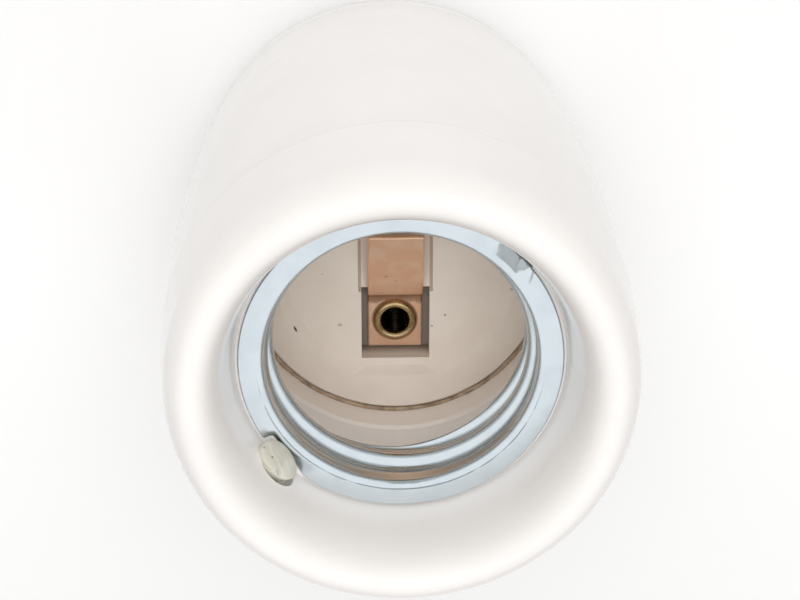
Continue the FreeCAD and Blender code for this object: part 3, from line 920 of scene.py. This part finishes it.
@dataclass
class ScrewShell:
    """Rolled screw shell: notched flange, bend and round thread, drawn from one sheet."""

    sheet: float = 0.45
    flange_radius: float = 15.4
    flange_top: float = 51.3
    lip_radius: float = 13.0
    crest_radius: float = 12.2
    thread_depth: float = 1.1
    pitch: float = 25.4 / 7.0
    length: float = 7.2
    bend: float = 0.7
    ramp: tuple[float, float] = (0.9, 2.3)
    phase: float = 1.15
    turns: int = 600
    notches: tuple[Notch, Notch] = (
        Notch(angle=221.0, fall=(-2.8, -1.9), rise=(0.2, 3.5), floor=14.75, press=0.6,
              fold=(13.95, 14.75)),
        Notch(angle=45.0, fall=(-1.6, -1.15), rise=(1.1, 2.4), floor=15.3, press=0.75,
              fold=(13.85, 15.4)),
    )
    crease_angles: tuple[float, ...] = (39.8, 37.6, 35.4)
    crease_from: tuple[float, float] = (13.75, 14.5)
    crease_height: float = 0.30
    crease_width: float = 0.26
    rounding: float = 0.08

    def round_thread(self, along: float) -> float:
        """Depth outside the crests: equal arcs of crest and root that meet halfway.

        Args:
            along: Distance along the axis from a crest, in millimetres.

        Returns:
            The depth in millimetres.
        """
        arc = ((self.pitch / 2) ** 2 + self.thread_depth ** 2) / (4 * self.thread_depth)
        from_crest = abs(math.remainder(along, self.pitch))
        from_root = self.pitch / 2 - from_crest
        if from_crest < from_root:
            return arc - math.sqrt(arc * arc - from_crest * from_crest)
        return self.thread_depth - arc + math.sqrt(arc * arc - from_root * from_root)

    def sag(self, radius: float, angle: float) -> float:
        """How far the sheet is pressed down round its notches, in millimetres.

        Args:
            radius: Radius in the flange.
            angle: Angle about the holder's axis.

        Returns:
            The drop in millimetres.
        """
        total = 0.0
        for notch in self.notches:
            reach = notch.depth(angle, radius)
            low, high = notch.fold
            down = max(0.0, (radius - low) / (high - low))
            total += notch.press * reach * down * smooth(radius, low, low + 0.3)
        return total

    def edge_radius(self, angle: float) -> float:
        """Outer radius of the flange at an angle, with its notches.

        Args:
            angle: Angle about the holder's axis.

        Returns:
            The radius in millimetres.
        """
        radius = self.flange_radius
        for notch in self.notches:
            radius -= notch.depth(angle, self.flange_radius) * (self.flange_radius - notch.floor)
        return radius

    def crumple(self, radius: float, angle: float) -> float:
        """Creases of the flange where it was driven in beside its dented notch.

        Args:
            radius: Radius in the flange.
            angle: Angle about the holder's axis.

        Returns:
            The rise of the sheet in millimetres.
        """
        total = 0.0
        for order, centre in enumerate(self.crease_angles):
            lean = (radius - 14.4) * (0.35 + 0.2 * order)
            across = turn_between(angle, math.radians(centre)) * radius - lean
            total += (self.crease_height - 0.06 * order) * math.exp(-(across / self.crease_width) ** 2)
            total -= 0.16 * math.exp(-((across - 0.42) / 0.2) ** 2)
        return total * smooth(radius, *self.crease_from)

    def point(self, share: float, region: Region, angle: float, back: float) -> Vector:
        """Point of the sheet.

        Args:
            share: Way through the region, from 0 to 1.
            region: Region of the sheet.
            angle: Angle about the holder's axis.
            back: Distance behind the face that a lamp cap meets.

        Returns:
            The point in millimetres.
        """
        if region is Region.FLANGE:
            outer = self.edge_radius(angle)
            inner = self.lip_radius + self.bend
            radius = outer + (inner - outer) * share
            height = self.flange_top - back - self.sag(radius, angle) + self.crumple(radius, angle)
            return polar(radius, angle, height)
        if region is Region.BEND:
            swing = share * math.pi / 2
            reach = self.bend - back
            radius = self.lip_radius + self.bend - reach * math.sin(swing)
            height = self.flange_top - self.bend + reach * math.cos(swing)
            return polar(radius, angle, height - self.sag(radius, angle))
        depth = share * (self.length - self.bend)
        along = depth + (angle + self.phase) * self.pitch / (2 * math.pi)
        inward = self.lip_radius - self.crest_radius - self.round_thread(along)
        radius = self.lip_radius + back - inward * smooth(depth, *self.ramp)
        radius += 0.006 * wobble(3.0 * math.cos(angle), 3.0 * math.sin(angle), depth, 1.3)
        return polar(radius, angle, self.flange_top - self.bend - depth)

    def build(self, finish: Material) -> None:
        """Make the shell as one closed sheet and seat it.

        Args:
            finish: Material of the piece.
        """
        flange, bend, bore = Region
        edges = (self.rounding, self.sheet - self.rounding)
        steps = [(k / 12, flange, 0.0) for k in range(12)] + [(k / 10, bend, 0.0) for k in range(10)]
        steps += [(k / 72, bore, 0.0) for k in range(73)]
        steps += [(1.0, bore, back) for back in edges]
        steps += [(1.0 - k / 36, bore, self.sheet) for k in range(37)]
        steps += [(1.0 - k / 3, bend, self.sheet) for k in range(1, 4)]
        steps += [(1.0 - k / 5, flange, self.sheet) for k in range(1, 6)]
        steps += [(0.0, flange, back) for back in reversed(edges)]
        rows = []
        for share, region, back in steps:
            inset = self.rounding if back in (0.0, self.sheet) else 0.0
            row = []
            for angle in circle(self.turns):
                spot = self.point(share, region, angle, back)
                if region is flange and share == 0.0:
                    spot -= polar(inset * 0.6, angle, 0.0)
                row.append(spot)
            rows.append(row)
        shell = grid_object("rolled_screw_shell", rows, loop_rows=True, loop_columns=True)
        place(shell, "holder", ["screw_shell"], finish)


@dataclass
class LockPlug:
    """Plug of setting compound in a notch of the flange, swollen to a leaning head or low.

    Stem is the share of its rings that lie below the head.
    """

    name: str
    angle: float
    middle: tuple[float, float]
    lean: float
    across: float
    along: float
    proud: float
    sink: float
    stem: float = 0.2
    around: int = 72
    rings: int = 26

    def spot(self, out: float, turn: float, rise: float) -> Vector:
        """Point at a share of the head's oval, a turn about it and a rise along its own axis.

        Args:
            out: Share of the way out to the oval's edge.
            turn: Angle about the head's own axis.
            rise: Height along that axis in millimetres.

        Returns:
            The point in millimetres.
        """
        lean = math.radians(self.lean)
        lump = 1.0 + 0.05 * wobble(math.cos(turn), math.sin(turn), self.angle, 0.8)
        x, y = self.across * out * math.cos(turn) * lump, self.along * out * math.sin(turn) * lump
        inward = Vector((-math.sin(lean), 0.0, math.cos(lean)))
        uphill = Vector((math.cos(lean), 0.0, math.sin(lean)))
        local = Vector((self.middle[0], y, self.middle[1])) + uphill * x + inward * rise
        return Matrix.Rotation(math.radians(self.angle), 3, "Z") @ local

    def chipped(self, out: float, turn: float) -> float:
        """How deep the head's surface is broken here: a flake is off its outer lower side.

        Args:
            out: Share of the way out to the oval's edge.
            turn: Angle about the head's own axis.

        Returns:
            The depth of the break in millimetres.
        """
        x, y = out * math.cos(turn), out * math.sin(turn)
        ragged = 0.16 * wobble(x, y, 3.0, 0.35)
        flake = smooth(0.75 * x - 0.45 * y + ragged, 0.30, 0.36)
        return 0.05 * flake + 0.04 * max(0.0, wobble(x, y, 6.0, 0.4)) * flake

    def build(self, finish: Material) -> None:
        """Make the plug as one closed lump and seat it.

        Args:
            finish: Material of the piece.
        """
        rows = []
        for i in range(self.rings + 1):
            share = i / self.rings
            row = []
            for turn in circle(self.around):
                if share < self.stem:
                    up = share / self.stem
                    row.append(self.spot(0.9 + 0.1 * up, turn, -self.sink * (1.0 - up)))
                    continue
                swing = (share - self.stem) / (1.0 - self.stem) * math.pi / 2
                out = max(0.015, math.cos(swing) ** 0.8)
                rise = self.proud * math.sin(swing) ** 0.75
                rise -= self.chipped(out, turn) * smooth(swing, 0.0, 0.5)
                rise += 0.035 * wobble(out * math.cos(turn), out * math.sin(turn), 1.0, 0.7)
                row.append(self.spot(out, turn, rise))
            rows.append(row)
        plug = grid_object(self.name, rows, loop_rows=False, loop_columns=True, caps=True)
        place(plug, "holder", ["shell_lock_plugs"], finish)


@dataclass
class JointRing:
    """Brown cement that was squeezed up between the insert and the wall, and chipped since.

    Lap, bead and climb are its mean reach over the boss, its height there and its rise at the wall.
    """

    boss_radius: float = 15.55
    wall_radius: float = 15.8
    face: float = 31.0
    foot: float = 29.4
    middle_radius: float = 15.7
    lap: float = 0.06
    least_lap: float = 0.04
    bead: float = 0.08
    climb: float = 0.06
    bite: float = 0.02
    turns: int = 720

    def build(self, finish: Material) -> None:
        """Make the ragged ring and seat it.

        Args:
            finish: Material of the piece.
        """
        rows: list[list[Vector]] = [[] for _ in range(8)]
        for angle in circle(self.turns):
            x, y, _ = polar(self.middle_radius, angle, 0.0)
            coarse = wobble(x, y, 0.0, 3.6)
            fine = wobble(x, y, 5.0, 0.7)
            chip = smooth(wobble(x, y, 9.0, 1.9), 0.18, 0.3)
            lap = self.lap + 0.13 * coarse + 0.05 * fine + 0.12 * chip
            bead = self.bead + 0.05 * wobble(x, y, 2.0, 1.1) + 0.03 * fine
            climb = self.climb + 0.16 * coarse + 0.08 * wobble(x, y, 7.0, 0.5)
            inner = self.boss_radius - max(self.least_lap, lap)
            outline = (
                (self.boss_radius + self.bite, self.foot),
                (self.boss_radius - self.bite, self.face - 0.1),
                (inner, self.face - self.bite),
                (inner + 0.04, self.face + 0.5 * bead),
                (self.boss_radius + 0.04, self.face + bead),
                (self.wall_radius - self.bite, self.face + bead + max(0.0, climb)),
                (self.wall_radius + 0.01, self.face + 0.1),
                (self.wall_radius - self.bite, self.foot),
            )
            for row, (radius, height) in zip(rows, outline):
                row.append(polar(radius, angle, height))
        ring = grid_object("cement_joint", rows, loop_rows=True, loop_columns=True)
        place(ring, "holder", ["joint_cement"], finish)


@dataclass
class CentreContact:
    """Copper strip with a flat riveted foot, a crushed bend and a rising tongue."""

    width: float = 5.7
    thickness: float = 0.5
    foot_end: float = -9.97
    foot_top: float = 27.4
    bend: float = -4.1
    tongue_start: tuple[float, float] = (-3.1, 29.3)
    tongue_end: tuple[float, float] = (5.2, 33.7)
    crushed: tuple[tuple[float, float], ...] = ((0.0, 0.07), (0.15, 0.18), (0.30, 0.38), (0.42, 0.62),
                                               (0.58, 1.0))
    bow: float = 0.35
    edge: float = 0.06
    rivet_at: float = -6.8
    hole: float = 1.85
    steps: int = 48

    def line(self) -> list[tuple[float, float]]:
        """Top line of the strip as (y, z) points, close together at the bend.

        Returns:
            The points in millimetres, from the end of the foot to the end of the tongue.
        """
        start, end = self.tongue_start, self.tongue_end
        bend = self.bend
        points = [(self.foot_end + (bend - 0.3 - self.foot_end) * k / 34, self.foot_top) for k in range(35)]
        points += [(bend + ahead, self.foot_top + up) for ahead, up in self.crushed]
        points += [(start[0] - 0.22, start[1] - 0.42), start]
        for k in range(1, 41):
            part = k / 40
            bow = self.bow * math.sin(math.pi * part)
            points.append((start[0] + (end[0] - start[0]) * part,
                           start[1] + (end[1] - start[1]) * part + bow))
        return points

    def build(self, finish: Material) -> None:
        """Make the strip and seat it.

        Args:
            finish: Material of the piece.
        """
        line = self.line()
        half = self.width / 2
        rows = []
        for i, (y, z) in enumerate(line):
            ahead = line[min(i + 1, len(line) - 1)]
            behind = line[max(i - 1, 0)]
            along = Vector((0.0, ahead[0] - behind[0], ahead[1] - behind[1])).normalized()
            normal = Vector((0.0, -along.z, along.y))
            pull = self.edge * 0.7 if i in (0, len(line) - 1) else 0.0
            row = []
            for side, offset in ((1, 0.0), (-1, -self.thickness)):
                for k in range(self.steps + 1):
                    x = side * (-half + self.width * k / self.steps)
                    dip = self.edge * (1.0 - smooth(half - abs(x), 0.0, self.edge * 3))
                    wave = 0.035 * wobble(x, y, 4.0, 1.6) + 0.012 * wobble(x, y, 8.0, 0.5)
                    level = offset + (wave - dip * side)
                    spot = Vector((x * (1.0 + 0.004 * wobble(y, 0.0, 1.0, 1.2)), y, z))
                    row.append(spot + normal * level - along * pull * (1 if i else -1))
            rows.append(row)
        strip = grid_object("contact_spring", rows, loop_rows=False, loop_columns=True, caps=True)
        pierce(strip, self.hole, (0.0, self.rivet_at), self.foot_top - 2.0, self.foot_top + 2.0)
        place(strip, "holder", ["centre_contact"], finish)


@dataclass
class EntryBush:
    """Flanged bush with its fine bore thread cut as a real helix."""

    minor: float = 4.46
    major: float = 5.05
    pitch: float = 1.0
    neck: float = 6.5
    flange: float = 9.5
    collar: float = 7.2
    bottom: float = 0.6
    floor: float = 7.0
    flange_top: float = 8.4
    top: float = 14.6
    stop_radius: float = 3.56
    stop: float = 1.0
    mouth: float = 0.35
    neck_chamfer: float = 0.25
    flange_chamfer: float = 0.15
    top_chamfer: float = 0.6
    stop_chamfer: float = 0.2
    turns: int = 96
    thread_steps: int = 150

    def groove(self, height: float, angle: float) -> float:
        """Bore radius of the thread at a height and angle.

        Args:
            height: Height in the bore.
            angle: Angle about the holder's axis.

        Returns:
            The radius in millimetres.
        """
        phase = (height / self.pitch - angle / (2 * math.pi)) % 1.0
        vee = 1.0 - min(1.0, abs(phase - 0.5) / 0.42)
        run = smooth(height, self.bottom, self.bottom + 0.5) * (
            1.0 - smooth(height, self.top - self.stop - 0.9, self.top - self.stop - 0.2))
        return self.minor + (self.major - self.minor) * min(1.0, vee * 1.15) * run

    def build(self, finish: Material) -> None:
        """Make the bush and seat it.

        Args:
            finish: Material of the piece.
        """
        outline = [
            (self.minor + self.mouth, self.bottom),
            (self.neck - self.neck_chamfer, self.bottom), (self.neck, self.bottom + self.neck_chamfer),
            (self.neck, self.floor),
            (self.flange - self.flange_chamfer, self.floor),
            (self.flange, self.floor + self.flange_chamfer),
            (self.flange, self.flange_top - self.flange_chamfer),
            (self.flange - self.flange_chamfer, self.flange_top),
            (self.collar, self.flange_top),
            (self.collar, self.top - self.top_chamfer), (self.collar - self.top_chamfer, self.top),
            (self.stop_radius + self.stop_chamfer, self.top),
            (self.stop_radius, self.top - self.stop_chamfer),
            (self.stop_radius, self.top - self.stop), (self.minor, self.top - self.stop),
        ]
        rows = [[polar(r, angle, z) for angle in circle(self.turns)] for r, z in outline]
        low, high = self.bottom + 0.3, self.top - self.stop - 0.02
        for i in range(self.thread_steps + 1):
            height = high + (low - high) * i / self.thread_steps
            rows.append([polar(self.groove(height, angle), angle, height) for angle in circle(self.turns)])
        bush = grid_object("threaded_entry_bush", rows, loop_rows=True, loop_columns=True)
        place(bush, "holder", ["entry_bush"], finish)


# ---------------------------------------------------------------- studio
@dataclass(frozen=True)
class Lamp:
    """Square soft lamp that faces the holder: place and side in metres, power in watts."""

    name: str
    spot: tuple[float, float, float]
    size: float
    power: float
    colour: Colour = (1.0, 1.0, 1.0)
    aimed_at: tuple[float, float, float] = (0.0, 0.0, 0.045)

    def build(self) -> None:
        """Hang the lamp. It shows in no reflection, where the white surround is seen instead."""
        data = bpy.data.lights.new(self.name, "AREA")
        data.size = self.size
        data.energy = self.power
        data.color = self.colour
        lamp = link(self.name, data)
        lamp.location = self.spot
        aim = Vector(self.aimed_at) - Vector(self.spot)
        lamp.rotation_euler = aim.to_track_quat("-Z", "Y").to_euler()
        lamp.visible_glossy = False


@dataclass
class Studio:
    """Camera, lamps, floor and white surround.

    The flange's height and its place before the camera are in millimetres, the floor's reach in metres.
    """

    axis_seen: tuple[float, float, float] = (0.0272, -0.4203, 0.9069)
    flange_seen: tuple[float, float, float] = (0.1078, -5.880, -197.67)
    flange_height: float = 51.3
    lens: float = 94.5
    sensor: float = 36.0
    floor_reach: float = 2.0
    floor_shade: float = 0.9
    floor_glow: float = 0.055
    surround_look: float = 1.0
    surround_light: float = 0.41
    lamps: tuple[Lamp, ...] = (
        Lamp("front_lamp", (0.0, 0.14, 0.66), 0.45, 1.42, (1.0, 0.985, 0.965)),
        Lamp("high_lamp", (0.0, 0.40, 0.50), 0.50, 1.38),
        Lamp("lower_left_lamp", (-0.28, -0.28, 0.52), 0.45, 0.42),
        Lamp("lower_right_lamp", (0.28, -0.28, 0.52), 0.45, 0.55),
    )

    def camera(self) -> None:
        """Stand the camera so that the opening's axis and flange lie as given in its own space."""
        up = Vector(self.axis_seen).normalized()
        side = Vector((1.0, 0.0, 0.0))
        side = (side - side.dot(up) * up).normalized()
        turn = Matrix((side, up.cross(side), up)).transposed()
        shift = Vector(self.flange_seen) * MM - turn @ Vector((0.0, 0.0, self.flange_height * MM))
        data = bpy.data.cameras.new("camera")
        data.lens = self.lens
        data.sensor_width = self.sensor
        data.clip_start = 0.01
        camera = link("camera", data)
        camera.matrix_world = (Matrix.Translation(shift) @ turn.to_4x4()).inverted()
        bpy.context.scene.camera = camera
        LOG.info("camera at %s", [round(v, 4) for v in camera.matrix_world.translation])

    def seen(self, bench: Bench) -> Socket:
        """Value of 1 where a surface or the world is looked at, straight or by reflection."""
        rays = bench.node("ShaderNodeLightPath").outputs
        return bench.most(rays["Is Camera Ray"], rays["Is Glossy Ray"], rays["Is Transmission Ray"])

    def floor(self) -> None:
        """Pale floor that the camera sees as white, with the holder's shadow on it."""
        mesh = bpy.data.meshes.new("floor")
        reach = self.floor_reach
        corners = [(-reach, -reach, 0.0), (reach, -reach, 0.0), (reach, reach, 0.0), (-reach, reach, 0.0)]
        mesh.from_pydata(corners, [], [(0, 1, 2, 3)])
        material = bpy.data.materials.new("floor")
        material.use_nodes = True
        bench = Bench(material.node_tree)
        bench.fill(material.node_tree.nodes["Principled BSDF"], Base_Color=(self.floor_shade,) * 3,
                   Roughness=0.9, Emission_Color=(1.0, 1.0, 1.0),
                   Emission_Strength=bench.times(self.seen(bench), self.floor_glow))
        mesh.materials.append(material)
        link("floor", mesh)

    def surround(self) -> None:
        """White world that lights the holder more softly than it looks."""
        world = bpy.data.worlds.new("surround")
        bpy.context.scene.world = world
        world.use_nodes = True
        bench = Bench(world.node_tree)
        gain = self.surround_look - self.surround_light
        bench.fill(world.node_tree.nodes["Background"], Color=(1.0, 1.0, 1.0),
                   Strength=bench.plus(bench.times(self.seen(bench), gain), self.surround_light))

    def build(self) -> None:
        """Set up the whole studio."""
        self.camera()
        self.floor()
        self.surround()
        for lamp in self.lamps:
            lamp.build()
        bpy.context.scene.view_settings.view_transform = "Standard"


# ---------------------------------------------------------------- the holder
@dataclass
class LampHolder:
    """All pieces of the holder with their finishes."""

    effects: Effects

    def dress_solids(self) -> None:
        """Give every plain solid that stays visible its finish."""
        zinc = PlainSteel(self.effects)
        blackened = PlainSteel(self.effects, name="dark_steel", clean=(0.10, 0.10, 0.105),
                               aged=(0.06, 0.055, 0.05), roughness=0.38)
        wardrobe: tuple[tuple[Finish, tuple[str, ...]], ...] = (
            (Porcelain(self.effects), ("front_collar", "rear_body")),
            (BareCeramic(self.effects), ("contact_insert",)),
            (Brass(self.effects), ("centre_rivet", "shell_rivet", "centre_terminal", "shell_terminal",
                                   "shell_contact_strip")),
            (zinc, ("entry_ring_nut", "centre_wire_clamp", "shell_wire_clamp",
                    "centre_terminal_screw", "shell_terminal_screw")),
            (VulcanFibre(self.effects), ("entry_washer",)),
            (blackened, ("entry_lock_screw",)),
        )
        for finish, nodes in wardrobe:
            material = finish.material()
            for node in nodes:
                dress(node, material)

    def build(self) -> None:
        """Build and dress the holder."""
        self.dress_solids()
        ScrewShell().build(PlatedSteel(self.effects).material())
        compound = PlugCement(self.effects).material()
        LockPlug("lock_plug_swollen", angle=219.3, middle=(15.1, 52.6), lean=61.0, across=1.72,
                 along=2.3, proud=0.42, sink=1.8).build(compound)
        LockPlug("lock_plug_low", angle=45.0, middle=(14.9, 49.3), lean=0.0, across=1.0,
                 along=1.9, proud=0.2, sink=0.5).build(compound)
        JointRing().build(JointCement(self.effects).material())
        CentreContact().build(RolledCopper(self.effects).material())
        EntryBush().build(PlainSteel(self.effects, name="bush_steel", roughness=0.26).material())


def main() -> None:
    """Build the studio and the holder."""
    logging.basicConfig(level=logging.INFO, format="%(message)s")
    Studio().build()
    LampHolder(Effects().build()).build()


if __name__ == "__main__":
    main()
